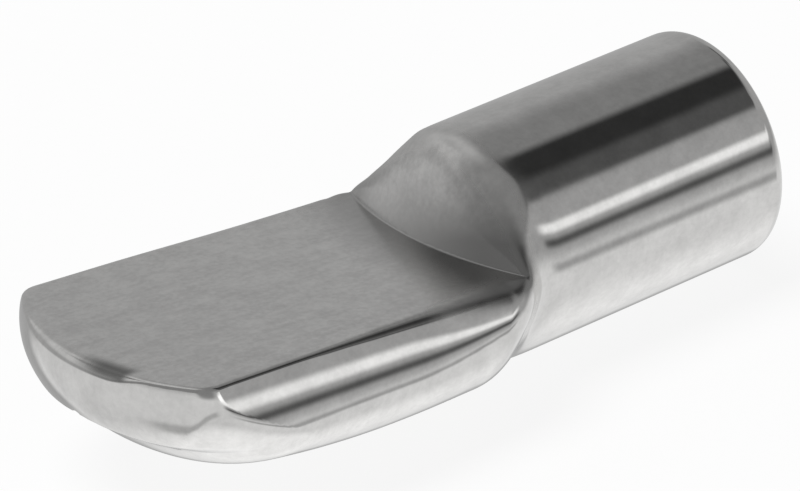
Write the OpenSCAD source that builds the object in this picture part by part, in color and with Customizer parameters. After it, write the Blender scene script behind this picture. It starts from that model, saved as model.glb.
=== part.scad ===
// Shelf support pin, spoon type. A round shank pushes into a hole bored in a cabinet's side,
// and the same rod is forged out beyond the hole into a flat-topped spoon that carries the shelf.
//
// The X axis runs along the shank towards its free end and Z points up. The origin is on the
// shank's axis, where the full round meets the shoulder. All sizes are in millimetres.

/* [Shank] */
// Diameter of the round shank
shank_d = 6.35; // [5:0.05:7]
// Length of the round shank from the shoulder to its free end
shank_len = 8.3; // [5:0.1:16]
// Radius that breaks the edge of the free end
end_edge_r = 0.3; // [0.1:0.05:0.8]

/* [Shoulder] */
// Angle by which the shoulder leans back from upright, in degrees
shoulder_lean = 25; // [10:1:32]
// Radius of the shoulder's bow, as seen from above
shoulder_bow_r = 11.5; // [7:0.1:30]
// Radius that rolls the shoulder's upper edge over into the shank
shoulder_edge_r = 0.6; // [0.3:0.05:0.9]

/* [Shelf face] */
// Distance from the start of the round shank to the middle of the spoon's tip
spoon_len = 12.3; // [8:0.1:20]
// Width of the flat shelf face at the foot of the shoulder
root_w = 7.8; // [7:0.05:10]
// Width of the flat shelf face carried on to the tip
tip_w = 8.2; // [7:0.05:11]
// Height of the shelf face above the shank's axis, at the start of the round shank
face_h = 0.57; // [0.2:0.01:1.2]
// Angle by which the shelf face rises towards the tip, in degrees
face_rise = 4.7; // [0:0.1:8]

/* [Spoon body] */
// How far the sides swell out beyond the shelf face's edge, at the foot of the shoulder
root_swell = 0.53; // [0.2:0.01:0.8]
// How far the sides swell out beyond the shelf face's edge, at the tip
tip_swell = 0.51; // [0.2:0.01:0.7]
// How far below the shelf face the sides are widest, at the foot of the shoulder
root_drop = 1.35; // [1.1:0.05:1.8]
// How far below the shelf face the sides are widest, at the tip
tip_drop = 1.65; // [0.9:0.05:1.8]
// Depth of the belly below the shank's axis, under the foot of the shoulder
belly_root = 2.46; // [2.2:0.02:3]
// Depth that the belly's line reaches at the tip, before the tip's bow takes it up
belly_tip = 0.64; // [0.2:0.02:1.4]
// How far the belly sags below a straight line between those two depths
belly_sag = 0.9; // [0:0.01:1.2]
// Squareness of the sides above their widest line: 2 is an ellipse, and less is flatter
side_square = 1.72; // [1.6:0.02:2.4]
// Squareness of the belly's section: 2 is an ellipse, and more is boxier
belly_square = 2.1; // [2:0.1:4]

/* [Tip] */
// Radius of the tip's arc, as seen from above
tip_r = 6.9; // [5.5:0.1:12]
// Radius of the corner between the tip's arc and each side
corner_r = 0.45; // [0.2:0.05:1]
// How far below the shelf face the end wall stands out furthest
wall_drop = 0.85; // [0.5:0.05:1.1]
// Run of the bow that turns the end wall under into the belly
bow_run = 2.2; // [1.4:0.05:2.6]

/* [Neck] */
// Length over which the round rod spreads to the spoon's full width
flare_len = 2.35; // [1.2:0.05:3]
// Length over which the rod's section sinks and flattens to the spoon's own
sink_len = 3.4; // [2:0.05:4.5]
// How far the neck's section is pinched from an oval towards a diamond, half way along its flare
neck_pinch = 0.28; // [0:0.02:0.5]

/* [Hidden] */

// Number of points around each section of the neck and spoon
ring_points = 64;
// Number of sections along the neck, and along the spoon beyond it
neck_steps = 18;
spoon_steps = 12;
// Facets on the true arcs
$fn = 96;
// Step by which the neck starts inside the shank's surface
tuck = 0.01;
// Distance by which a cutting shape stands clear of what it cuts
clear = 3;
// Depth by which the tip's bow reaches below the belly where the two meet
bow_bite = 0.05;
// Share of the side's drop over which the tip's rounded corner follows the side's lean
lean_share = 0.5;
// Half the angle that the tip's arc cutter sweeps to each side of the tip
tip_sweep = 56;

shank_r = shank_d / 2;
rod_r = shank_r - tuck;
// Run along X of the shoulder's rolled edge, and of the leaning face below it
roll_run = 0.9 * shoulder_edge_r * tan(45 - shoulder_lean / 2);
lean_run = (shank_r - face_h) * tan(shoulder_lean);
// Distance from the start of the round shank back to the foot of the shoulder
shoulder_foot = (lean_run + roll_run) / (1 + tan(face_rise) * tan(shoulder_lean));
// Where the forged blank ends, just past the tip that is cut from it
blank_end = -spoon_len - 0.2;
// Centre of the tip's arc, on the X axis
tip_centre = tip_r - spoon_len;
// Height at which the end wall stands out furthest, and depth of the bow below it
wall_z = face_h + spoon_len * tan(face_rise) - wall_drop;
bow_depth = wall_z - belly_z(bow_run - spoon_len) + bow_bite;
// How far the end wall's bow draws in the front edge of the shelf face
wall_inset = bow_run * (1 - sqrt(1 - pow(wall_drop / bow_depth, 2)));

function mix(a, b, t) = a + (b - a) * t;

// Rises smoothly from 0 to 1 as t goes from 0 to 1
function ease(t) = let (s = max(0, min(1, t))) s * s * (3 - 2 * s);

// Share of the spoon's length reached at x: 0 at the shoulder's foot, 1 at the tip
function along(x) = (-x - shoulder_foot) / (spoon_len - shoulder_foot);

function face_z(x) = face_h - x * tan(face_rise);
function face_half_w(x) = mix(root_w, tip_w, along(x)) / 2;
function side_swell(x) = mix(root_swell, tip_swell, along(x));
function side_drop(x) = mix(root_drop, tip_drop, along(x));
function belly_z(x) =
    let (u = along(x))
    -mix(belly_root, belly_tip, u) - 4 * belly_sag * u * (1 - u);

// Height of the spoon's upper oval, of squareness n about a middle at mid_z, such that the
// oval runs through the shelf face's edge
function crown_h(x, mid_z, n) =
    let (half_w = face_half_w(x))
    (face_z(x) - mid_z) / pow(1 - pow(half_w / (half_w + side_swell(x)), n), 1 / n);

// Half the spoon's width at the given share of the side's drop below the shelf face
function side_reach(x, part) =
    let (
        wide = face_half_w(x) + side_swell(x),
        edge = 1 - pow(face_half_w(x) / wide, side_square)
    )
    wide * pow(1 - edge * pow(1 - part, side_square), 1 / side_square);

// One coordinate of a superellipse of exponent n, from a cosine or a sine
function bend(c, n) = sign(c) * pow(abs(c), 2 / n);

// How far the rod's top has rolled over at x, as a share of its radius, from 0 at x = 0
function roll(x) =
    (shoulder_edge_r - sqrt(max(0, pow(shoulder_edge_r, 2) - x * x))) / rod_r;

// Height on a section of height h, at the sine s round it, with its top lowered by the share dip
function lowered(h, s, dip) = h * s * (1 - dip * pow(max(0, s), 4));

// The rod's section at x: a circle at the shank, and a wide, flattened oval in the spoon
function section(x) =
    let (
        flare = sin(90 * min(1, -x / flare_len)),
        sink = ease(-x / sink_len),
        crown = ease((-x - shoulder_edge_r) / (shoulder_foot - shoulder_edge_r)),
        pinch = 4 * neck_pinch * flare * (1 - flare),
        dip = roll(x) * (1 - crown),
        widest_z = face_z(x) - side_drop(x),
        mid_z = sink * widest_z,
        half_w = mix(rod_r, face_half_w(x) + side_swell(x), flare),
        up_n = mix(2, side_square, sink) - pinch,
        down_n = mix(2, belly_square, sink) - pinch,
        up_h = mix(rod_r, crown_h(x, mid_z, up_n), crown),
        down_h = mix(rod_r, widest_z - belly_z(x), sink)
    )
    [for (k = [0 : ring_points - 1])
        let (
            t = 360 * (k + 0.5) / ring_points,
            n = t < 180 ? up_n : down_n,
            h = t < 180 ? up_h : down_h
        )
        [x, half_w * bend(cos(t), n), mid_z + lowered(h, bend(sin(t), n), dip)]];

// Solid through a row of sections that all have the same number of points
module loft(sections) {
    rings = len(sections);
    count = len(sections[0]);
    walls = [for (i = [0 : rings - 2], k = [0 : count - 1])
        let (a = i * count + k, b = i * count + (k + 1) % count)
        each [[a, b, a + count], [b, b + count, a + count]]];
    first_cap = [[for (k = [count - 1 : -1 : 0]) k]];
    last_cap = [[for (k = [0 : count - 1]) (rings - 1) * count + k]];
    polyhedron([for (s = sections) each s], concat(walls, first_cap, last_cap));
}

// Sliver outside a quarter circle about the origin, which rounds off a right-angled corner
module corner_sliver(r) {
    difference() {
        square(r + clear);
        circle(r);
    }
}

// The round shank, with the edge of its free end broken
module shank() {
    rotate([0, 90, 0])
    rotate_extrude()
    difference() {
        square([shank_r, shank_len]);
        translate([shank_r - end_edge_r, shank_len - end_edge_r])
        corner_sliver(end_edge_r);
    }
}

// The forged form: the rod spreads through the neck into the spoon's flattened body
module spoon_blank() {
    neck = [for (i = [0 : neck_steps]) -sink_len * pow(i / neck_steps, 1.5)];
    spoon = [for (i = [1 : spoon_steps]) mix(-sink_len, blank_end, i / spoon_steps)];
    loft([for (x = concat(neck, spoon)) section(x)]);
}

// Space that the shelf takes: above the flat face, and in front of the bowed, leaning shoulder
module shelf_space() {
    difference() {
        translate([0, 0, face_h])
        rotate([0, face_rise, 0])
        translate([-spoon_len - clear, -root_w, 0])
        cube([spoon_len + 1.5 * clear, 2 * root_w, 2 * shank_d]);

        translate([-shoulder_foot, 0, face_z(-shoulder_foot)])
        rotate([0, shoulder_lean, 0])
        translate([shoulder_bow_r, 0, -clear])
        cylinder(r = shoulder_bow_r, h = 3 * shank_d);
    }
}

// Space around the tip, outside the end wall's bow
module tip_space() {
    translate([tip_centre, 0, 0])
    rotate([0, 0, 180 - tip_sweep])
    rotate_extrude(angle = 2 * tip_sweep)
    translate([tip_r - bow_run, wall_z])
    difference() {
        translate([0, -2 * shank_d])
        square([bow_run + clear, 4 * shank_d]);
        scale([bow_run, bow_depth])
        circle(1);
    }
}

// Space outside the rounded corner between the tip's end wall and one side. The corner's axis
// follows the lean of both.
module corner_space() {
    side_out = side_reach(-spoon_len, lean_share) - face_half_w(-spoon_len);
    side_lean = atan(side_out / (lean_share * tip_drop));
    wall_lean = atan(wall_inset / wall_drop);
    corner_y = face_half_w(-spoon_len) - corner_r / cos(side_lean);
    corner_reach = tip_r - wall_inset - corner_r / cos(wall_lean);
    turn = asin(corner_y / corner_reach);
    corner_x = tip_centre - corner_reach * cos(turn);
    slide = atan((cos(wall_lean) * tan(side_lean) - sin(wall_lean) * sin(turn)) / cos(turn));
    spread = acos(
        cos(side_lean) * cos(wall_lean) * sin(turn) + sin(side_lean) * sin(wall_lean)
    );
    translate([corner_x, corner_y, face_z(corner_x)])
    rotate([0, 0, 180 - turn])
    rotate([0, -wall_lean, 0])
    rotate([-slide, 0, 0])
    translate([0, 0, -shank_d])
    linear_extrude(2 * shank_d)
    difference() {
        polygon([
            [0, 0],
            [clear, 0],
            [clear, -clear * tan(spread / 2)],
            [clear * cos(spread), -clear * sin(spread)]
        ]);
        circle(corner_r);
    }
}

module support_pin() {
    color("silver")
    difference() {
        union() {
            shank();
            spoon_blank();
        }
        shelf_space();
        tip_space();
        corner_space();
        mirror([0, 1, 0])
        corner_space();
    }
}

support_pin();
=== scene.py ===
import math

import bpy
import numpy as np
from mathutils import Matrix, Vector


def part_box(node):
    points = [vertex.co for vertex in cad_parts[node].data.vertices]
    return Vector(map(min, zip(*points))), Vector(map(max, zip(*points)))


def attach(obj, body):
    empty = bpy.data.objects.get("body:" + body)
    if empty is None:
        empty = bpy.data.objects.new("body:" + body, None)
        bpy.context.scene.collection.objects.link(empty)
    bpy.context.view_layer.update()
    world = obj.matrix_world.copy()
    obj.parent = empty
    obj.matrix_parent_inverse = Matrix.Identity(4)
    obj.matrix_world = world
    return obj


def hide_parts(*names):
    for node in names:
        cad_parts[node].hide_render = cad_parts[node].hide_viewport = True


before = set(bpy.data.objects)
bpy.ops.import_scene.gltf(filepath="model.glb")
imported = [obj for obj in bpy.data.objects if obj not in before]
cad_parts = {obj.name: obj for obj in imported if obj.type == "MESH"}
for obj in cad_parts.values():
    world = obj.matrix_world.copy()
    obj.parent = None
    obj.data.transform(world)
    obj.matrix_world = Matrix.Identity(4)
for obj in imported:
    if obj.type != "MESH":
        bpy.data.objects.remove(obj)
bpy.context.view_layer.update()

bl_info = {
    "name": "Shelf support pin",
    "version": (1, 0, 0),
    "blender": (4, 5, 0),
    "location": "3D View > Sidebar > Support pin",
    "description": "Nickel-plated spoon-type shelf support pin, with a small studio",
    "category": "Object",
}

MM = 0.001

# The CAD node that the pin stands for, its body and its lowest point
NODE = "support_pin"
BODY = "root"
FLOOR_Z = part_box(NODE)[0][2]

# Samples of the pin's surface: rings from the tip to the free end, spokes round each ring.
# At both ends the rings fan out, inside and outside the edge that they are crowded on.
TIP_RINGS_IN, TIP_RINGS_OUT = 52, 36
SPOON_RINGS, NECK_RINGS, SHANK_RINGS = 70, 110, 18
END_RINGS_OUT, END_RINGS_IN = 34, 22
LOW_SPOKES, UP_SPOKES = 62, 62
# How closely rings and spokes crowd on the edges: 0 is evenly, 1 is most
TIP_CROWD, END_CROWD, SPOKE_CROWD = 0.6, 0.7, 0.65

# Spine that the rays start from, in millimetres: how far inside the tip and the free end it
# stops, where the finely ringed neck starts and ends, its height inside the shoulder, and
# where it leaves the spoon's middle for that height and then for the shank's axis
TIP_INSET, END_INSET = 2.2, 2.0
NECK_START, NECK_END = -2.6, 0.4
SPINE_SHOULDER_Z = -0.6
SPINE_TO_SHOULDER, SPINE_TO_AXIS = (-4, 1.5), (1.5, 4)
# Where the spokes let go of the flat face's edges, in millimetres, and the angle in radians
# that stands for those edges along the shank
SPOKES_LET_GO = (0, 3)
SHANK_EDGE_TURN = 0.3
# The tip's fan crosses the end wall's edges no further from the axis than this angle, and a
# spoke's sine or cosine counts for at least this much
WIDEST_CROSS, LEAST_TURN = math.radians(76), 0.05
# A ray is this long at first, and the search for the skin halves it this often
RAY_LENGTH, HALVINGS = 14.0, 36

QUARTER_TURN = math.pi / 2
# The smallest radius or length that is divided by
TINY = 1e-6

# Camera: where it stands, how it is turned about its own line of sight, and its lens
CAMERA_AZIMUTH, CAMERA_ELEVATION, CAMERA_ROLL = -34.25031, 25.72701, -6.32369
CAMERA_DISTANCE = 130 * MM
CAMERA_TARGET = (-1.02980 * MM, 1.41986 * MM, -0.11035 * MM)
CAMERA_LENS, CAMERA_SENSOR = 226.144, 36.0
CAMERA_CLIP = 1 * MM


def length(name, description, default_mm, smallest_mm=0.01):
    """A length that a user may change, kept in metres and given here in millimetres."""
    return bpy.props.FloatProperty(
        name=name,
        description=description,
        default=default_mm * MM,
        min=smallest_mm * MM,
        unit="LENGTH",
        precision=5,
    )


def angle(name, description, default_deg):
    """An angle that a user may change, kept in radians and given here in degrees."""
    return bpy.props.FloatProperty(
        name=name,
        description=description,
        default=math.radians(default_deg),
        min=0.0,
        max=math.pi / 3,
        unit="ROTATION",
    )


def share(name, description, default, highest=1.0):
    """A plain number from nothing up to its highest."""
    return bpy.props.FloatProperty(
        name=name, description=description, default=default, min=0.0, max=highest
    )


def colour(name, description, default):
    """A linear colour."""
    return bpy.props.FloatVectorProperty(
        name=name,
        description=description,
        default=default,
        subtype="COLOR",
        size=3,
        min=0.0,
        max=1.0,
    )


class SupportPinSizes(bpy.types.PropertyGroup):
    """Sizes of the pin, named as in the part's source."""

    shank_d: length("Shank diameter", "Diameter of the round shank", 6.35)
    shank_len: length("Shank length", "From the shoulder to the free end", 8.3)
    end_edge_r: length("End edge radius", "Breaks the edge of the free end", 0.45)
    shoulder_lean: angle("Shoulder lean", "Lean of the shoulder from upright", 25)
    shoulder_bow_r: length("Shoulder bow", "Radius of the shoulder from above", 11.5)
    shoulder_edge_r: length("Shoulder edge", "Rolls the shoulder into the shank", 0.6)
    roll_foot_r: length("Roll at the foot", "The same roll, low on each side", 0.6)
    roll_side_r: length("Roll at mid height", "The same roll, at mid height", 0.8)
    roll_top_r: length("Roll at the top", "The same roll, over the top", 0.5)
    spoon_len: length("Spoon length", "From the round shank to the tip", 12.3)
    root_w: length("Root width", "Flat face's width under the shoulder", 7.8)
    tip_w: length("Tip width", "Flat face's width carried to the tip", 8.2)
    face_h: length("Face height", "Flat face above the axis at the shank", 0.57)
    face_rise: angle("Face rise", "Rise of the flat face to the tip", 4.7)
    root_swell: length("Root swell", "Swell of the sides at the shoulder", 0.53)
    tip_swell: length("Tip swell", "Swell of the sides at the tip", 0.51)
    root_drop: length("Root drop", "Widest line below the face at the shoulder", 1.35)
    tip_drop: length("Tip drop", "Widest line below the face at the tip", 1.65)
    belly_root: length("Belly at root", "Depth of the belly at the shoulder", 2.46)
    belly_tip: length("Belly at tip", "Depth of the belly's line at the tip", 0.64)
    belly_sag: length("Belly sag", "Sag of the belly between those two", 0.9)
    belly_square: share("Belly squareness", "2 is an ellipse, more is boxier", 2.1, 6.0)
    side_square: share("Side squareness", "2 is an ellipse, less is flatter", 1.72, 6.0)
    tip_r: length("Tip radius", "Radius of the tip from above", 6.9)
    corner_r: length("Corner radius", "Between the tip and each side", 0.25)
    corner_low_r: length("Low corner radius", "The same corner, in the bow below", 1.45)
    wall_h: length("End wall height", "Twice the drop to its widest line", 1.6)
    wall_swell: length("End wall swell", "How far it stands out there", 0.17)
    flare_up_len: length("Upper flare", "Over which the rod spreads, above", 1.7)
    flare_low_len: length("Lower flare", "Over which the rod spreads, below", 2.5)
    neck_soft: length("Neck softness", "Eases the start of the flare", 0.58)
    sink_len: length("Sink length", "Over which the rod sinks and flattens", 5.0)
    neck_pinch: share("Neck pinch", "Pinches the neck towards a diamond", 0.28)
    edge_r: length("Face edge radius", "Breaks the flat face's long edges", 0.09)
    root_edge_r: length("Root edge radius", "The same edges, at the neck", 0.22)
    tip_edge_r: length("Tip edge radius", "Breaks the flat face's tip edge", 0.26)
    crease_r: length("Crease radius", "Fills the foot of the shoulder", 0.03)


class SupportPinFinish(bpy.types.PropertyGroup):
    """The plated finish, and the room that it mirrors."""

    plate: colour("Plate", "Colour of the nickel plate", (0.665, 0.66, 0.65))
    polish: share("Polish roughness", "Roughness of the polished plate", 0.07)
    stamped: share("Stamped roughness", "Roughness of the stamped faces", 0.2)
    mottle: share("Mottle", "Cloudiness of the plate's colour", 0.14)
    # Painted shade: how much darker the plate is painted in the inside corner at the
    # shoulder's foot
    dulled: share("Dulled", "How much duller the inside corner's plate is", 0.52)
    rolled: share("Rolled", "Roughness of the shoulder's rolled edge", 0.34)
    # How much darker the plate is made along a mark on the tip's edge
    worn: share("Worn", "How much darker the worn mark on the tip is", 0.66)
    paper: colour("Paper", "Colour of the floor", (0.9, 0.9, 0.9))
    room: share("Room", "Brightness of the room's grey walls", 0.445, 4.0)
    ceiling: share("Ceiling", "Brightness of the room overhead", 0.27, 4.0)
    back_wall: share("Back wall", "Brightness of the wall behind", 0.44, 4.0)
    back_light: share("Back light", "Brightness high on the wall behind", 0.66, 4.0)
    left_wall: share("Left wall", "Brightness of the wall past the tip", 0.28, 4.0)
    card: share("White card", "Brightness of the card past the tip", 0.78, 4.0)
    window: share("Window", "Brightness of the bright strip", 1.12, 8.0)
    spot: share("Spot", "Brightness of the small lamp at its end", 1.5, 8.0)
    dark: share("Dark", "Brightness of the dark screen overhead", 0.035)
    screen: share("Screen", "Brightness of the dark screen's grey end", 0.1)
    patch: share("Patch", "Brightness of the grey patch behind", 0.18)
    skirting: share("Skirting", "Brightness of the line under the window", 0.11)
    table_line: share("Table line", "Brightness of the grey line on the table", 0.45)
    table: share("Table", "Brightness of the lit table round the pin", 0.86)
    table_edge: share("Table edge", "Brightness of the table far away", 0.42)
    paper_glow: share("Paper glow", "Brightness of the paper under the pin", 1.15, 4.0)
    smudge: share("Smudge", "Brightness of the grey line past the tip", 0.52)
    lamp_power: share("Lamp power", "Power of the soft lamp, in watts", 6.0, 100.0)


def blend_of(low, high, part):
    """The low value where the part is 0, the high one where it is 1."""
    return low + (high - low) * part


def ease(part):
    """Rises smoothly from 0 to 1: 3 t squared minus 2 t cubed, with t held in 0 to 1."""
    t = np.clip(part, 0, 1)
    return t * t * (3 - 2 * t)


def step_between(start, end, value):
    """Rises smoothly from 0 where the value is at the start to 1 where it is at the end."""
    return ease((value - start) / (end - start))


def rounded_max(a, b, radius):
    """The larger of two depths, with the corner between them rounded off at a radius."""
    radius = np.maximum(radius, TINY)
    inside = np.minimum(np.maximum(a, b), -radius)
    return inside + np.hypot(np.maximum(a + radius, 0), np.maximum(b + radius, 0))


def rounded_min(a, b, radius):
    """The smaller of two depths, with the corner between them filled at a radius."""
    return -rounded_max(-a, -b, radius)


class PinForm:
    """The pin as a depth: below 0 in the metal, 0 on its surface and above 0 outside.

    All lengths are in millimetres. The X axis runs along the shank to its free end.
    """

    # Between these heights the spread changes from the lower flare to the upper one
    FLARE_LOW_Z, FLARE_HIGH_Z = -1.2, 0.6
    # The corner of the tip opens to its low radius between these drops below the face
    CORNER_HIGH_DROP, CORNER_LOW_DROP = 0.2, 2.1
    # The shoulder's roll starts, then widens, between these heights above the face, and
    # narrows again between these heights above the axis
    ROLL_STARTS, ROLL_WIDENS, ROLL_NARROWS = (-0.05, 0.6), (0.2, 1.2), (2.2, 3.0)
    # The flat face's edge changes from the long edges' radius to the root's, and to the
    # tip's, between these places along the axis. The tip's narrows again between these
    # distances from the middle.
    EDGE_AT_ROOT, EDGE_AT_TIP, EDGE_BY_CORNER = (-8.5, -4.0), (-10.9, -11.3), (1.5, 2.7)
    # Share of the shoulder's edge radius that its roll takes up along the shank
    ROLL_SHARE = 0.9
    # The tip's arc is cut only before this place on the axis, the free end only past this one
    TIP_BEFORE, END_PAST = -4, 3
    # The end wall's bow goes on this many half heights below its widest line
    WALL_BOW_BELOW = 1.5
    # The least that a section's powers are taken of, and its least height over the middle
    LEAST_BESIDE, LEAST_RATIO, LEAST_CROWN_H = 1e-4, 1e-9, 0.1

    # Masks that the finish reads, each one a method. Every pair below gives the place where
    # a mask starts to change and the place where it has changed. Those named SKIN are in
    # the side that a point is on: below 0 on the rolled skin, above 0 on the stamped faces.
    MASKS = ("stamped", "recess", "rolled", "scuff")
    STAMPED_SKIN = (-0.12, 0.12)
    # The painted shade in the inside corner reaches this far from it. On the flat face, the
    # distance counts for less at the near side, and the painted shade is deeper there too.
    RECESS_REACH, RECESS_SKIN = 2.0, (-0.5, -0.05)
    RECESS_NEAR_SHARE, RECESS_SHARE_Y = 0.68, (-4.2, -0.5)
    RECESS_STRENGTHS, RECESS_STRENGTH_Y = (1.35, 0.7), (-4.0, 2.0)
    ROLLED_SKIN_STARTS, ROLLED_SKIN_ENDS = (-1.2, -0.2), (0.12, 0.5)
    ROLLED_OVER_FACE, ROLLED_ALONG_X = (-0.7, 0.1), (-4.6, -3.4)
    SCUFF_STARTS_Y, SCUFF_ENDS_Y = (-0.1, -1.3), (-1.9, -2.2)
    SCUFF_BEHIND_TIP, SCUFF_NEAR_FACE = (0.2, 0.6), (-0.25, -0.1)
    # Half the distance over which a normal is measured
    NORMAL_STEP = 0.004
    # Names of the sizes that aren't lengths
    PLAIN = ("shoulder_lean", "face_rise", "belly_square", "side_square", "neck_pinch")

    def __init__(self, sizes):
        for name in sizes.__annotations__:
            value = getattr(sizes, name)
            plain = name in self.PLAIN
            setattr(self, name, value if plain else value / MM)
        self.shank_r = self.shank_d / 2
        self.rise = math.tan(self.face_rise)
        self.lean = math.tan(self.shoulder_lean)
        roll = (
            self.ROLL_SHARE
            * self.shoulder_edge_r
            * math.tan(math.pi / 4 - self.shoulder_lean / 2)
        )
        run = (self.shank_r - self.face_h) * self.lean
        self.foot = (run + roll) / (1 + self.rise * self.lean)
        self.foot_z = self.face_z(-self.foot)

    def along(self, x):
        """Share of the spoon's length: 0 at the shoulder's foot and 1 at the tip."""
        return (-x - self.foot) / (self.spoon_len - self.foot)

    def face_z(self, x):
        return self.face_h - x * self.rise

    def face_half_w(self, x):
        return blend_of(self.root_w, self.tip_w, self.along(x)) / 2

    def belly_z(self, x):
        """A straight fall from root to tip, with a parabola's sag below it."""
        part = self.along(x)
        depth = blend_of(self.belly_root, self.belly_tip, part)
        return -depth - 4 * self.belly_sag * part * (1 - part)

    def body(self, x, y, z):
        """Depth in the forged rod: a circle at the shank and a flattened oval in the spoon.

        At each x the section is two half superellipses that share one width. Their
        exponent, middle, width and heights ease from the circle's to the spoon's.
        """
        part = self.along(x)
        face_z, half_w = self.face_z(x), self.face_half_w(x)
        widest_z = face_z - blend_of(self.root_drop, self.tip_drop, part)
        wide = half_w + blend_of(self.root_swell, self.tip_swell, part)
        soft = self.neck_soft
        easing = np.maximum(soft - x, 0) ** 2 / (4 * soft)
        behind = np.where(x < -soft, -x, easing)
        high = step_between(self.FLARE_LOW_Z, self.FLARE_HIGH_Z, z)
        flare_len = blend_of(self.flare_low_len, self.flare_up_len, high)
        flare = np.sin(QUARTER_TURN * np.minimum(1, behind / flare_len))
        sink = ease(-x / self.sink_len)
        crown = step_between(self.shoulder_edge_r, self.foot, -x)
        pinch = 4 * self.neck_pinch * flare * (1 - flare)
        middle = sink * widest_z
        up_power = blend_of(2.0, self.side_square, sink) - pinch
        down_power = blend_of(2.0, self.belly_square, sink) - pinch
        beside = np.maximum(1 - (half_w / wide) ** up_power, self.LEAST_BESIDE)
        crown_h = (face_z - middle) / beside ** (1 / up_power)
        section_w = blend_of(self.shank_r, wide, flare)
        up_h = blend_of(self.shank_r, np.maximum(crown_h, self.LEAST_CROWN_H), crown)
        down_h = blend_of(self.shank_r, widest_z - self.belly_z(x), sink)
        above = z > middle
        height = np.where(above, up_h, down_h)
        power = np.where(above, up_power, down_power)
        across = np.maximum(np.abs(y) / section_w, self.LEAST_RATIO)
        upward = np.maximum(np.abs(z - middle) / height, self.LEAST_RATIO)
        reach = (across**power + upward**power) ** (1 / power)
        slope = np.hypot(
            across ** (power - 1) / section_w, upward ** (power - 1) / height
        ) / np.maximum(reach, TINY) ** (power - 1)
        return (reach - 1) / np.maximum(slope, TINY)

    def tip(self, x, y, z):
        """Depth behind the tip's arc, whose wall bows out by a parabola from top to bottom."""
        half_h = self.wall_h / 2
        bow = np.clip((z - self.face_z(x) + half_h) / half_h, -self.WALL_BOW_BELOW, 1) ** 2
        arc = np.hypot(x + self.spoon_len - self.tip_r, y) - self.tip_r
        return arc + self.wall_swell * bow

    def shelf_walls(self, x, y, z):
        """Depth under the flat face, and depth inside the shoulder's leaning cylinder."""
        face_z = self.face_z(x)
        under = (z - face_z) / math.hypot(1, self.rise)
        scale = math.hypot(1, self.lean)
        back = ((x + self.foot) - (z - self.foot_z) * self.lean) / scale
        nose = np.hypot(back - self.shoulder_bow_r, y) - self.shoulder_bow_r
        return under, np.where(back > self.shoulder_bow_r, -self.shoulder_bow_r, nose)

    def shelf(self, x, y, z):
        """Depth in the two stamped faces taken together, with the crease between them."""
        under, nose = self.shelf_walls(x, y, z)
        return rounded_min(under, nose, self.crease_r)

    def parts(self, x, y, z):
        """Depth in the closed forged body, and depth below the shelf's own space."""
        face_z = self.face_z(x)
        low = step_between(self.CORNER_HIGH_DROP, self.CORNER_LOW_DROP, face_z - z)
        corner = blend_of(self.corner_r, self.corner_low_r, low)
        body = self.body(x, y, z)
        tipped = rounded_max(body, self.tip(x, y, z), corner)
        body = np.where(x < self.TIP_BEFORE, tipped, body)
        ended = rounded_max(body, x - self.shank_len, self.end_edge_r)
        return np.where(x > self.END_PAST, ended, body), self.shelf(x, y, z)

    def break_r(self, x, y, z):
        """Radius between the forged body and the stamped faces, by place."""
        height = z - self.face_z(x)
        widened = step_between(*self.ROLL_WIDENS, height)
        roll = blend_of(self.roll_foot_r, self.roll_side_r, widened)
        roll = blend_of(roll, self.roll_top_r, step_between(*self.ROLL_NARROWS, z))
        edge = blend_of(self.edge_r, self.root_edge_r, step_between(*self.EDGE_AT_ROOT, x))
        by_corner = step_between(*self.EDGE_BY_CORNER, np.abs(y))
        tip_edge = blend_of(self.tip_edge_r, self.edge_r, by_corner)
        edge = blend_of(edge, tip_edge, step_between(*self.EDGE_AT_TIP, x))
        return blend_of(edge, roll, step_between(*self.ROLL_STARTS, height))

    def depth(self, x, y, z):
        """The pin: what lies in the body and below the shelf, with its edges broken."""
        body, shelf = self.parts(x, y, z)
        return rounded_max(body, shelf, self.break_r(x, y, z))

    def side(self, x, y, z):
        """Below 0 on the rolled skin and above 0 on the stamped faces."""
        body, shelf = self.parts(x, y, z)
        return shelf - body

    def stamped(self, x, y, z):
        """1 on the two faces that the stamp left, 0 on the rolled skin."""
        return step_between(*self.STAMPED_SKIN, self.side(x, y, z))

    def recess(self, x, y, z):
        """Painted shade on the plate in the inside corner at the shoulder's foot.

        It fades with the distance from the corner, and from the near side to the far one.
        Past 1 the painted shade gets no deeper.
        """
        under, nose = self.shelf_walls(x, y, z)
        nearer = blend_of(self.RECESS_NEAR_SHARE, 1, step_between(*self.RECESS_SHARE_Y, y))
        away = np.maximum(np.maximum(under, nose * nearer), 0)
        near = 1 - step_between(0, self.RECESS_REACH, away)
        on_faces = step_between(*self.RECESS_SKIN, self.side(x, y, z))
        across = step_between(*self.RECESS_STRENGTH_Y, y)
        return on_faces * blend_of(*self.RECESS_STRENGTHS, across) * near

    def rolled(self, x, y, z):
        """1 on the shoulder's rolled edge over the flat face, and 0 beyond it in the spoon."""
        side = self.side(x, y, z)
        on_edge = step_between(*self.ROLLED_SKIN_STARTS, side)
        on_edge = on_edge * (1 - step_between(*self.ROLLED_SKIN_ENDS, side))
        above = step_between(*self.ROLLED_OVER_FACE, z - self.face_z(x))
        return on_edge * above * step_between(*self.ROLLED_ALONG_X, x)

    def scuff(self, x, y, z):
        """1 on a darker mark along the tip's edge of the flat face, beside its middle."""
        along = step_between(*self.SCUFF_STARTS_Y, y)
        along = along * (1 - step_between(*self.SCUFF_ENDS_Y, y))
        behind = 1 - step_between(*self.SCUFF_BEHIND_TIP, -self.tip(x, y, z))
        return along * behind * step_between(*self.SCUFF_NEAR_FACE, self.shelf(x, y, z))

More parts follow.
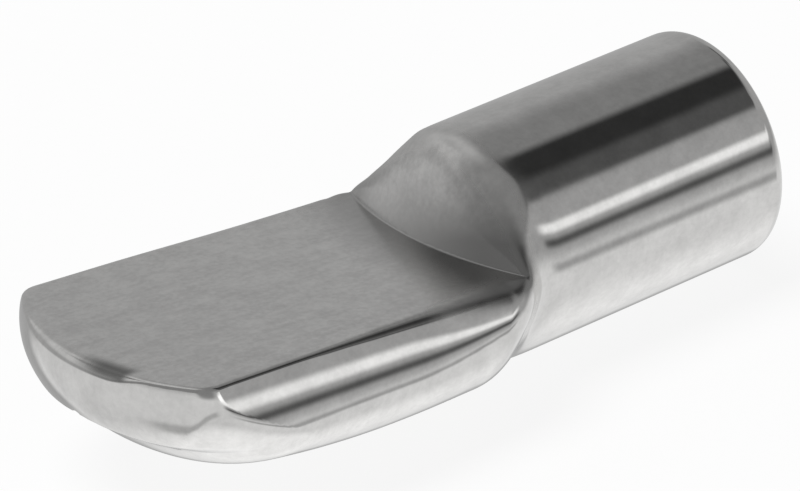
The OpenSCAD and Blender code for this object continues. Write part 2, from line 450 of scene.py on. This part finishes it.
    def normals(self, points):
        """Unit outward normals: the depth's central differences, made one long."""
        step = self.NORMAL_STEP
        x, y, z = points[..., 0], points[..., 1], points[..., 2]
        rise = np.stack(
            [
                self.depth(x + step, y, z) - self.depth(x - step, y, z),
                self.depth(x, y + step, z) - self.depth(x, y - step, z),
                self.depth(x, y, z + step) - self.depth(x, y, z - step),
            ],
            axis=-1,
        )
        return rise / np.maximum(np.linalg.norm(rise, axis=-1, keepdims=True), TINY)


def crowded(count, crowd):
    """Steps from 0 towards 1, closer together at first: a mix of t and t squared."""
    t = np.arange(count) / count
    return (1 - crowd) * t + crowd * t * t


def spoke_angles(edge, crowd):
    """Angles round each ring, from straight down, crowded on both edges of the flat face.

    edge and crowd are columns, one row to a ring; an angle of 0 points along +Y.
    """
    low = blend_of(crowded(LOW_SPOKES, 0), crowded(LOW_SPOKES, 1), crowd)
    up = blend_of(crowded(UP_SPOKES, 0), crowded(UP_SPOKES, 1), crowd)
    far_edge = 2 * QUARTER_TURN - edge
    return np.concatenate(
        [
            np.full_like(edge, -QUARTER_TURN),
            (edge - (QUARTER_TURN + edge) * low)[:, :0:-1],
            edge + (QUARTER_TURN - edge) * up,
            np.full_like(edge, QUARTER_TURN),
            (far_edge - (QUARTER_TURN - edge) * up)[:, :0:-1],
            far_edge + (QUARTER_TURN + edge) * low,
        ],
        axis=1,
    )


def tip_fan(form, tip_x, spine_z, turn):
    """Angles from the axis of the tip's rays: from straight along it to square, by ring.

    turn holds the spokes' angles round the axis. Each spoke's rays crowd on the end wall's
    side edge or top edge, whichever the spoke crosses closer to the axis.
    """
    corner_x = form.tip_r - np.sqrt(form.tip_r**2 - form.face_half_w(tip_x) ** 2)
    corner_run = form.spoon_len - corner_x + tip_x
    across = np.maximum(np.abs(np.cos(turn)), LEAST_TURN)
    side_cross = np.arctan2(form.face_half_w(tip_x) / across, corner_run)
    top_h = form.face_z(-form.spoon_len) - spine_z
    top_cross = np.arctan2(top_h / np.maximum(np.sin(turn), LEAST_TURN), TIP_INSET)
    cross = np.minimum(np.minimum(side_cross, top_cross), WIDEST_CROSS)[None, :]
    inner = 1 - crowded(TIP_RINGS_IN, TIP_CROWD)[::-1, None]
    outer = crowded(TIP_RINGS_OUT + 1, TIP_CROWD)[1:, None]
    swing = np.concatenate([cross * inner, cross + (QUARTER_TURN - cross) * outer])
    swing[0] = 0.0
    return swing


def end_fan(form, end_x, spokes):
    """Angles from the axis of the free end's rays, from square to straight along it.

    They crowd on the end's broken edge, and are the same for every spoke of a ring.
    """
    cross = np.arctan2(form.shank_r, form.shank_len - end_x)
    outer = 1 - crowded(END_RINGS_OUT, END_CROWD)[::-1]
    inner = 1 - crowded(END_RINGS_IN + 1, END_CROWD)[1:]
    swing = np.concatenate([QUARTER_TURN - (QUARTER_TURN - cross) * outer, cross * inner])
    swing[-1] = 0.0
    return np.repeat(swing[:, None], spokes, axis=1)


def pin_surface(form):
    """Points of the pin's closed surface, as rings by spokes by XYZ, in millimetres.

    Each point lies on a ray from a spine inside the metal. Along the middle the rays stand
    square to the X axis. At both ends they fan out from one point of the spine, from square
    to straight along the axis. The distance along a ray is found by halving the stretch in
    which the form's depth passes through 0.
    """
    tip_x, end_x = TIP_INSET - form.spoon_len, form.shank_len - END_INSET
    middle_x = np.concatenate(
        [
            np.linspace(tip_x, NECK_START, SPOON_RINGS, endpoint=False),
            np.linspace(NECK_START, NECK_END, NECK_RINGS, endpoint=False),
            np.linspace(NECK_END, end_x, SHANK_RINGS),
        ]
    )
    tip_rings = TIP_RINGS_IN + TIP_RINGS_OUT
    end_rings = END_RINGS_OUT + END_RINGS_IN
    x = np.concatenate([np.full(tip_rings, tip_x), middle_x, np.full(end_rings, end_x)])
    shoulder = step_between(*SPINE_TO_SHOULDER, x)
    spine_z = blend_of((form.face_z(x) + form.belly_z(x)) / 2, SPINE_SHOULDER_Z, shoulder)
    spine_z = spine_z * (1 - step_between(*SPINE_TO_AXIS, x))
    edge = np.arctan2(form.face_z(x) - spine_z, form.face_half_w(x))
    shank = step_between(*SPOKES_LET_GO, x)
    edge = blend_of(edge, SHANK_EDGE_TURN, shank)[:, None]
    turn = spoke_angles(edge, (SPOKE_CROWD * (1 - shank))[:, None])

    spokes = turn.shape[1]
    square = np.full((len(middle_x), spokes), QUARTER_TURN)
    tip_swing = tip_fan(form, tip_x, spine_z[0], turn[0])
    swing = np.concatenate([tip_swing, square, end_fan(form, end_x, spokes)])
    side = np.repeat([-1.0, 0.0, 1.0], [tip_rings, len(middle_x), end_rings])
    ray = np.stack(
        [
            side[:, None] * np.cos(swing),
            np.sin(swing) * np.cos(turn),
            np.sin(swing) * np.sin(turn),
        ],
        axis=-1,
    )
    start = np.stack([x, 0 * x, spine_z], axis=-1)[:, None, :] + 0 * ray
    near, far = np.zeros(ray.shape[:2]), np.full(ray.shape[:2], RAY_LENGTH)
    for _ in range(HALVINGS):
        middle = (near + far) / 2
        point = start + ray * middle[..., None]
        inside = form.depth(point[..., 0], point[..., 1], point[..., 2]) < 0
        near = np.where(inside, middle, near)
        far = np.where(inside, far, middle)
    return start + ray * near[..., None]


def closed_mesh(name, points):
    """Mesh through rings of points, in millimetres, returned with the points that it uses.

    Quads join each ring to the next. The first and the last ring shrink to one point each,
    and a fan of triangles closes on it.
    """
    rings, spokes = points.shape[:2]
    body = points[1:-1].reshape(-1, 3)
    poles = np.stack([points[0].mean(axis=0), points[-1].mean(axis=0)])
    verts = np.concatenate([body, poles])
    last_ring = (rings - 3) * spokes
    ring = np.arange(0, last_ring, spokes)[:, None]
    spoke = np.arange(spokes)
    after = (spoke + 1) % spokes
    quads = np.stack(
        [ring + spoke, ring + after, ring + spokes + after, ring + spokes + spoke], axis=-1
    ).reshape(-1, 4)
    first_pole, last_pole = np.full((2, spokes), [[len(body)], [len(body) + 1]])
    low_fan = np.stack([first_pole, after, spoke], axis=-1)
    high_fan = np.stack([last_pole, last_ring + spoke, last_ring + after], axis=-1)
    mesh = bpy.data.meshes.new(name)
    faces = quads.tolist() + low_fan.tolist() + high_fan.tolist()
    mesh.from_pydata((verts * MM).tolist(), [], faces)
    mesh.update()
    return mesh, verts


class Signal:
    """A value that flows out of a node. Sums, differences and products add Math nodes."""

    def __init__(self, graph, socket):
        self.graph = graph
        self.socket = socket

    def maths(self, operation, *values):
        """Adds a Math node that works on the values given, which needn't include this one."""
        sockets = dict(zip(("Value", "Value_001", "Value_002"), values))
        settings = {"operation": operation}
        return self.graph.node("ShaderNodeMath", settings, sockets)["Value"]

    def __add__(self, other):
        return self.maths("ADD", self, other)

    def __radd__(self, other):
        return self.maths("ADD", other, self)

    def __sub__(self, other):
        return self.maths("SUBTRACT", self, other)

    def __rsub__(self, other):
        return self.maths("SUBTRACT", other, self)

    def __mul__(self, other):
        return self.maths("MULTIPLY", self, other)

    def __rmul__(self, other):
        return self.maths("MULTIPLY", other, self)

    def smooth(self, start, end):
        """Rises smoothly from 0 at start to 1 at end."""
        return self.graph.node(
            "ShaderNodeMapRange",
            {"interpolation_type": "SMOOTHSTEP"},
            {"Value": self, "From Min": start, "From Max": end},
        )["Result"]

    def within(self, low, high, soft):
        """1 between low and high, and 0 beyond them, with soft flanks."""
        rising = self.smooth(low - soft, low + soft)
        return rising * (1 - self.smooth(high - soft, high + soft))


class Made:
    """A node's outputs, by name."""

    def __init__(self, graph, node):
        self.graph = graph
        self.node = node

    def __getitem__(self, name):
        return Signal(self.graph, find_socket(self.node.outputs, name))


def find_socket(sockets, name):
    """The first socket with this identifier or name."""
    for socket in sockets:
        if socket.identifier == name or socket.name == name:
            return socket
    raise KeyError(name)


class Graph:
    """A shader tree that starts empty."""

    def __init__(self, tree):
        self.tree = tree
        tree.nodes.clear()

    def node(self, kind, settings=None, inputs=None):
        """Adds a node of any kind: its settings first, then its sockets' values or links."""
        made = self.tree.nodes.new(kind)
        for name, value in (settings or {}).items():
            setattr(made, name, value)
        for name, value in (inputs or {}).items():
            socket = find_socket(made.inputs, name)
            if isinstance(value, Signal):
                self.tree.links.new(value.socket, socket)
            else:
                socket.default_value = value
        return Made(self, made)

    def attribute(self, name):
        """A mask that the mesh carries from point to point."""
        return self.node("ShaderNodeAttribute", {"attribute_name": name})["Fac"]

    def scaled(self, vector, scale):
        """A vector times another, axis by axis."""
        settings = {"operation": "MULTIPLY"}
        inputs = {"Vector": vector, "Vector_001": scale}
        return self.node("ShaderNodeVectorMath", settings, inputs)["Vector"]

    def noise(self, vector, scale, detail=2.0, roughness=0.5):
        """Cloudy values from 0 to 1. The scale is about how many clouds lie in a metre."""
        inputs = {"Vector": vector, "Scale": scale, "Detail": detail, "Roughness": roughness}
        return self.node("ShaderNodeTexNoise", {"normalize": True}, inputs)["Fac"]

    def mixed(self, part, first, second):
        """The first colour where the part is 0, the second where it is 1."""
        settings = {"data_type": "RGBA"}
        inputs = {"Factor_Float": part, "A_Color": first, "B_Color": second}
        return self.node("ShaderNodeMix", settings, inputs)["Result_Color"]

    def shaders(self, part, first, second):
        """The first shader where the part is 0, the second where it is 1."""
        inputs = {"Fac": part, "Shader": first, "Shader_001": second}
        return self.node("ShaderNodeMixShader", None, inputs)["Shader"]


def lay(under, mask, value):
    """Lays a value over what is under it, where the mask is 1."""
    return under + mask * (value - under)


def rgba(colour_value, scale=1.0):
    """A colour made lighter or darker by a scale, up to 1, and opaque."""
    return tuple(min(1.0, channel * scale) for channel in colour_value) + (1.0,)


# The plate's patterns, as noise scales to the metre. Streaks run along the pin.
CLOUDS, GRAIN, RIPPLE = 1400.0, 6200.0, 900.0
STREAKS = (700.0, 5200.0, 5200.0)
GRAIN_ROUGHNESS = 0.6
# How much each pattern tells in the tone and in the height. The stamped faces have more
# grain, and they alone have streaks.
TONE_CLOUDS, TONE_GRAIN, TONE_MORE_GRAIN, TONE_STREAKS = 0.4, 0.25, 0.2, 0.25
HEIGHT_RIPPLE, HEIGHT_GRAIN, HEIGHT_MORE_GRAIN, HEIGHT_STREAKS = 0.5, 0.06, 0.25, 0.3
# The tone is deepest this far below 0, and brightest this far above
TONE_SPAN = 0.25
# Clouds change the roughness by this share either way
ROUGHNESS_SWING = 0.2
BUMP_HEIGHT = 0.0006 * MM


def nickel_plate(finish):
    """Bright nickel plate: polished on the rolled skin, finer grained on the stamped faces."""
    material = bpy.data.materials.new("nickel_plate_polished")
    material.use_nodes = True
    graph = Graph(material.node_tree)
    place = graph.node("ShaderNodeTexCoord")["Object"]
    stamped, recess, rolled, scuff = (graph.attribute(name) for name in PinForm.MASKS)
    clouds = graph.noise(place, CLOUDS, 3.0)
    grain = graph.noise(place, GRAIN, 2.0, GRAIN_ROUGHNESS)
    streaks = graph.noise(graph.scaled(place, STREAKS), 1.0, 3.0)
    ripple = graph.noise(place, RIPPLE, 1.0)

    tone = (clouds - 0.5) * TONE_CLOUDS
    tone = tone + (grain - 0.5) * (TONE_GRAIN + TONE_MORE_GRAIN * stamped)
    tone = tone + (streaks - 0.5) * (TONE_STREAKS * stamped)
    deep = rgba(finish.plate, 1 - finish.mottle)
    bright = rgba(finish.plate, 1 + finish.mottle)
    plate = graph.mixed(tone.smooth(-TONE_SPAN, TONE_SPAN), deep, bright)
    # Painted shade: the plate is darkened in the inside corner at the shoulder's foot, most on
    # the near side
    plate = graph.mixed(recess, plate, rgba(finish.plate, 1 - finish.dulled))
    # A darker mark along the tip's edge of the flat face, also made rougher below
    plate = graph.mixed(scuff, plate, rgba(finish.plate, 1 - finish.worn))

    rough = lay(finish.polish, stamped, finish.stamped)
    rough = lay(rough, rolled.maths("MAXIMUM", rolled, scuff), finish.rolled)
    rough = rough * (1 - ROUGHNESS_SWING + 2 * ROUGHNESS_SWING * clouds)
    height = ripple * HEIGHT_RIPPLE + grain * (HEIGHT_GRAIN + HEIGHT_MORE_GRAIN * stamped)
    height = height + streaks * (HEIGHT_STREAKS * stamped)
    bump = graph.node(
        "ShaderNodeBump", None, {"Strength": 1.0, "Distance": BUMP_HEIGHT, "Height": height}
    )["Normal"]
    shader = graph.node(
        "ShaderNodeBsdfPrincipled",
        None,
        {"Base Color": plate, "Metallic": 1.0, "Roughness": rough, "Normal": bump},
    )["BSDF"]
    graph.node("ShaderNodeOutputMaterial", None, {"Surface": shader})
    return material


WHITE = (1.0, 1.0, 1.0, 1.0)
# Paper fibres, as a noise scale to the metre, and how far they tint the paper either way
FIBRES, FIBRE_TINT = 2500.0, 0.02
# Share of the paper that shows plain white to the camera. The rest keeps the pin's shadow.
PAPER_WHITE = 0.88


def paper_floor(finish):
    """White paper: it shows white to the camera, and keeps part of the pin's shadow."""
    material = bpy.data.materials.new("white_paper")
    material.use_nodes = True
    graph = Graph(material.node_tree)
    place = graph.node("ShaderNodeTexCoord")["Object"]
    shaded, lit = rgba(finish.paper, 1 - FIBRE_TINT), rgba(finish.paper, 1 + FIBRE_TINT)
    tint = graph.mixed(graph.noise(place, FIBRES, 2.0), shaded, lit)
    matt = graph.node("ShaderNodeBsdfDiffuse", None, {"Color": tint})["BSDF"]
    white = graph.node("ShaderNodeEmission", None, {"Color": WHITE})["Emission"]
    seen = graph.node("ShaderNodeLightPath")["Is Camera Ray"]
    surface = graph.shaders(PAPER_WHITE * seen, matt, white)
    graph.node("ShaderNodeOutputMaterial", None, {"Surface": surface})
    return material


# The room round the pin, in degrees. A band is its low edge, its high edge and the softness
# of its flanks; a fade is where something starts and where it is whole. Heights are
# elevations, azimuths run from -180 to 180, and turns are azimuths from 0 to 360.
NEAR_AZIMUTHS = (-82.0, -40.0, 10.0)
CEILING_FADE = (25.0, 48.0)
BACK_WALL_TURNS, LEFT_WALL_TURNS = (62.0, 150.0, 14.0), (144.0, 268.0, 10.0)
BACK_LIGHT_TURNS, BACK_LIGHT_HEIGHTS = (84.0, 148.0, 8.0), (24.0, 76.0, 6.0)
# The white card's top edge climbs with the turn from a middle, and fades upwards
CARD_TURNS, CARD_MIDDLE, CARD_CLIMB, CARD_FADE = (106.0, 280.0, 6.0), 180.0, 0.12, (17.0, 4.0)
# Screens overhead, laid in this order: brightness, azimuths and heights
SCREENS = (
    ("screen", (-50.0, -34.0, 4.0), (34.0, 58.0, 3.0)),
    ("screen", (-42.0, 18.0, 6.0), (42.0, 52.0, 3.0)),
    ("screen", (12.0, 36.0, 4.0), (33.0, 41.0, 3.0)),
    ("dark", (-37.0, 3.0, 8.0), (48.0, 68.0, 3.0)),
)
# The grey patch behind climbs with the turn from its foot
PATCH_TURNS, PATCH_HEIGHTS = (98.0, 126.0, 6.0), (-4.0, 6.0, 4.0)
PATCH_FOOT_TURN, PATCH_FOOT_HEIGHT, PATCH_CLIMB = 82.0, 37.0, 0.36
WINDOW_HEIGHTS = (7.0, 14.5, 2.5)
SPOT_AZIMUTHS, SPOT_HEIGHTS = (-80.0, -61.0, 4.0), (13.0, 24.0, 3.0)
# The table brightens from the horizon down, and turns into white paper under the pin
TABLE_FADE, PAPER_FADE = (-3.0, -24.0), (-42.0, -66.0)
# The room's own grey lies on the far part of the table, behind the pin
SHADE_TURNS, SHADE_FADE = (40.0, 98.0, 6.0), (-48.0, -36.0)
TABLE_LINE_HEIGHTS = (-25.0, -18.0, 3.0)
# The grey line past the tip lies level up to a turn, and climbs from there
SMUDGE_TURNS, SMUDGE_HEIGHTS = (160.0, 250.0, 8.0), (-6.0, 6.0, 4.0)
SMUDGE_LEVEL_TURN, SMUDGE_LEVEL_HEIGHT, SMUDGE_CLIMB = 200.0, -43.0, 0.42
HORIZON_FADE, SKIRTING_HEIGHTS = (2.0, -4.0), (-4.5, 2.0, 3.0)


def studio_world(finish):
    """A grey room round a pale table, with one bright strip, cards and dark screens.

    The brightness is worked out from a direction's azimuth and elevation, in degrees. Each
    band is laid over what comes before it.
    """
    world = bpy.data.worlds.new("studio")
    world.use_nodes = True
    graph = Graph(world.node_tree)
    direction = graph.node("ShaderNodeTexCoord")["Generated"]
    parts = graph.node("ShaderNodeSeparateXYZ", None, {"Vector": direction})
    x, y, z = parts["X"], parts["Y"], parts["Z"]
    to_degrees = 180 / math.pi
    high = z.maths("ARCSINE", z) * to_degrees
    azimuth = y.maths("ARCTAN2", y, x) * to_degrees
    turn = azimuth.maths("WRAP", azimuth, 360.0, 0.0)
    near = azimuth.within(*NEAR_AZIMUTHS)
    by_card = turn.within(*CARD_TURNS)

    walls = lay(finish.room, high.smooth(*CEILING_FADE), finish.ceiling)
    walls = lay(walls, turn.within(*BACK_WALL_TURNS), finish.back_wall)
    walls = lay(walls, turn.within(*LEFT_WALL_TURNS), finish.left_wall)
    back_light = turn.within(*BACK_LIGHT_TURNS) * high.within(*BACK_LIGHT_HEIGHTS)
    walls = lay(walls, back_light, finish.back_light)
    over_card = high - CARD_CLIMB * (turn - CARD_MIDDLE)
    walls = lay(walls, by_card * over_card.smooth(*CARD_FADE), finish.card)
    for name, azimuths, heights in SCREENS:
        panel = azimuth.within(*azimuths) * high.within(*heights)
        walls = lay(walls, panel, getattr(finish, name))
    over_patch = high - PATCH_CLIMB * (turn - PATCH_FOOT_TURN) - PATCH_FOOT_HEIGHT
    patch = turn.within(*PATCH_TURNS) * over_patch.within(*PATCH_HEIGHTS)
    walls = lay(walls, patch, finish.patch)
    walls = lay(walls, near * high.within(*WINDOW_HEIGHTS), finish.window)
    spot = azimuth.within(*SPOT_AZIMUTHS) * high.within(*SPOT_HEIGHTS)
    walls = lay(walls, spot, finish.spot)

    table = lay(finish.table_edge, high.smooth(*TABLE_FADE), finish.table)
    shade = turn.within(*SHADE_TURNS) * high.smooth(*SHADE_FADE)
    table = lay(table, shade, finish.room)
    table = lay(table, by_card, finish.card)
    table = lay(table, high.smooth(*PAPER_FADE), finish.paper_glow)
    table = lay(table, near * high.within(*TABLE_LINE_HEIGHTS), finish.table_line)
    past_level = turn.maths("MAXIMUM", turn - SMUDGE_LEVEL_TURN, 0.0)
    over_smudge = high - SMUDGE_CLIMB * past_level - SMUDGE_LEVEL_HEIGHT
    smudge = turn.within(*SMUDGE_TURNS) * over_smudge.within(*SMUDGE_HEIGHTS)
    table = lay(table, smudge, finish.smudge)

    room = lay(walls, high.smooth(*HORIZON_FADE), table)
    room = lay(room, near * high.within(*SKIRTING_HEIGHTS), finish.skirting)
    seen = graph.node("ShaderNodeLightPath")["Is Camera Ray"]
    light = graph.node(
        "ShaderNodeBackground", None, {"Color": WHITE, "Strength": lay(room, seen, 1.0)}
    )["Background"]
    graph.node("ShaderNodeOutputWorld", None, {"Surface": light})
    return world


class SUPPORTPIN_OT_pin(bpy.types.Operator):
    """Make the nickel-plated pin over its CAD solid"""

    bl_idname = "support_pin.make_pin"
    bl_label = "Make the pin"

    def execute(self, context):
        form = PinForm(context.scene.support_pin_sizes)
        mesh, verts = closed_mesh("pin_surface", pin_surface(form))
        for name in PinForm.MASKS:
            mask = mesh.attributes.new(name, "FLOAT", "POINT")
            values = getattr(form, name)(*verts.T)
            mask.data.foreach_set("value", values.astype(np.float32))
        mesh.polygons.foreach_set("use_smooth", np.ones(len(mesh.polygons), dtype=bool))
        mesh.normals_split_custom_set_from_vertices(form.normals(verts))
        mesh.materials.append(nickel_plate(context.scene.support_pin_finish))
        pin = bpy.data.objects.new("pin_surface", mesh)
        context.scene.collection.objects.link(pin)
        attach(pin, BODY)
        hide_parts(NODE)
        return {"FINISHED"}


class SUPPORTPIN_OT_studio(bpy.types.Operator):
    """Make the floor, the room's light, the lamp and the camera"""

    bl_idname = "support_pin.make_studio"
    bl_label = "Make the studio"

    # In metres: half the floor's side, with so many lines each way, and the soft lamp
    FLOOR_REACH, FLOOR_LINES = 2.0, 9
    LAMP_PLACE, LAMP_SIZE = (-0.25, 0.15, 0.9), 0.6

    def execute(self, context):
        scene = context.scene
        finish = scene.support_pin_finish
        self.make_floor(scene, finish)
        self.make_lamp(scene, finish)
        self.make_camera(scene)
        scene.world = studio_world(finish)
        scene.view_settings.view_transform = "Standard"
        return {"FINISHED"}

    def make_floor(self, scene, finish):
        """A flat square of paper: x and y run over a grid, and z is the pin's lowest point."""
        count = self.FLOOR_LINES
        run = np.linspace(-self.FLOOR_REACH, self.FLOOR_REACH, count)
        x, y = np.meshgrid(run, run, indexing="ij")
        verts = np.stack([x, y, np.full_like(x, FLOOR_Z)], axis=-1).reshape(-1, 3)
        corner = (np.arange(count - 1)[:, None] * count + np.arange(count - 1)).ravel()
        faces = np.stack([corner, corner + count, corner + count + 1, corner + 1], axis=-1)
        mesh = bpy.data.meshes.new("paper_floor")
        mesh.from_pydata(verts.tolist(), [], faces.tolist())
        mesh.update()
        mesh.materials.append(paper_floor(finish))
        floor = bpy.data.objects.new("paper_floor", mesh)
        scene.collection.objects.link(floor)
        floor.visible_glossy = False

    def make_lamp(self, scene, finish):
        """A wide soft disc that faces the pin and isn't mirrored in it."""
        lamp = bpy.data.lights.new("soft_lamp", "AREA")
        lamp.shape = "DISK"
        lamp.size = self.LAMP_SIZE
        lamp.energy = finish.lamp_power
        holder = bpy.data.objects.new("soft_lamp", lamp)
        holder.location = self.LAMP_PLACE
        holder.rotation_euler = Vector(self.LAMP_PLACE).to_track_quat("Z", "Y").to_euler()
        holder.visible_glossy = False
        scene.collection.objects.link(holder)

    def make_camera(self, scene):
        """A long lens that looks at the target from its azimuth and elevation, with a roll."""
        data = bpy.data.cameras.new("camera")
        data.lens = CAMERA_LENS
        data.sensor_width = CAMERA_SENSOR
        data.clip_start = CAMERA_CLIP
        camera = bpy.data.objects.new("camera", data)
        scene.collection.objects.link(camera)
        turn, lift = math.radians(CAMERA_AZIMUTH), math.radians(CAMERA_ELEVATION)
        back = Vector(
            (
                math.sin(turn) * math.cos(lift),
                -math.cos(turn) * math.cos(lift),
                math.sin(lift),
            )
        )
        level = Vector((math.cos(turn), math.sin(turn), 0.0))
        roll = Matrix.Rotation(math.radians(CAMERA_ROLL), 3, back)
        right = roll @ level
        upward = roll @ back.cross(level)
        place = Vector(CAMERA_TARGET) + CAMERA_DISTANCE * back
        axes = Matrix((right, upward, back)).transposed()
        camera.matrix_world = Matrix.Translation(place) @ axes.to_4x4()
        scene.camera = camera


class SUPPORTPIN_PT_panel(bpy.types.Panel):
    """Shows the buttons that make the pin and the studio, and the pin's sizes and finish"""

    bl_label = "Support pin"
    bl_idname = "SUPPORTPIN_PT_panel"
    bl_space_type = "VIEW_3D"
    bl_region_type = "UI"
    bl_category = "Support pin"

    def draw(self, context):
        layout = self.layout
        for operator in OPERATORS:
            layout.operator(operator.bl_idname)
        for group in (context.scene.support_pin_sizes, context.scene.support_pin_finish):
            box = layout.box()
            for name in group.__annotations__:
                box.prop(group, name)


OPERATORS = (SUPPORTPIN_OT_pin, SUPPORTPIN_OT_studio)
CLASSES = (SupportPinSizes, SupportPinFinish, *OPERATORS, SUPPORTPIN_PT_panel)


def register():
    for cls in CLASSES:
        bpy.utils.register_class(cls)
    scene_type = bpy.types.Scene
    scene_type.support_pin_sizes = bpy.props.PointerProperty(type=SupportPinSizes)
    scene_type.support_pin_finish = bpy.props.PointerProperty(type=SupportPinFinish)


def unregister():
    del bpy.types.Scene.support_pin_finish
    del bpy.types.Scene.support_pin_sizes
    for cls in reversed(CLASSES):
        bpy.utils.unregister_class(cls)


def main():
    """Registers the classes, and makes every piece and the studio."""
    register()
    bpy.ops.support_pin.make_pin()
    bpy.ops.support_pin.make_studio()


if __name__ == "__main__":
    main()
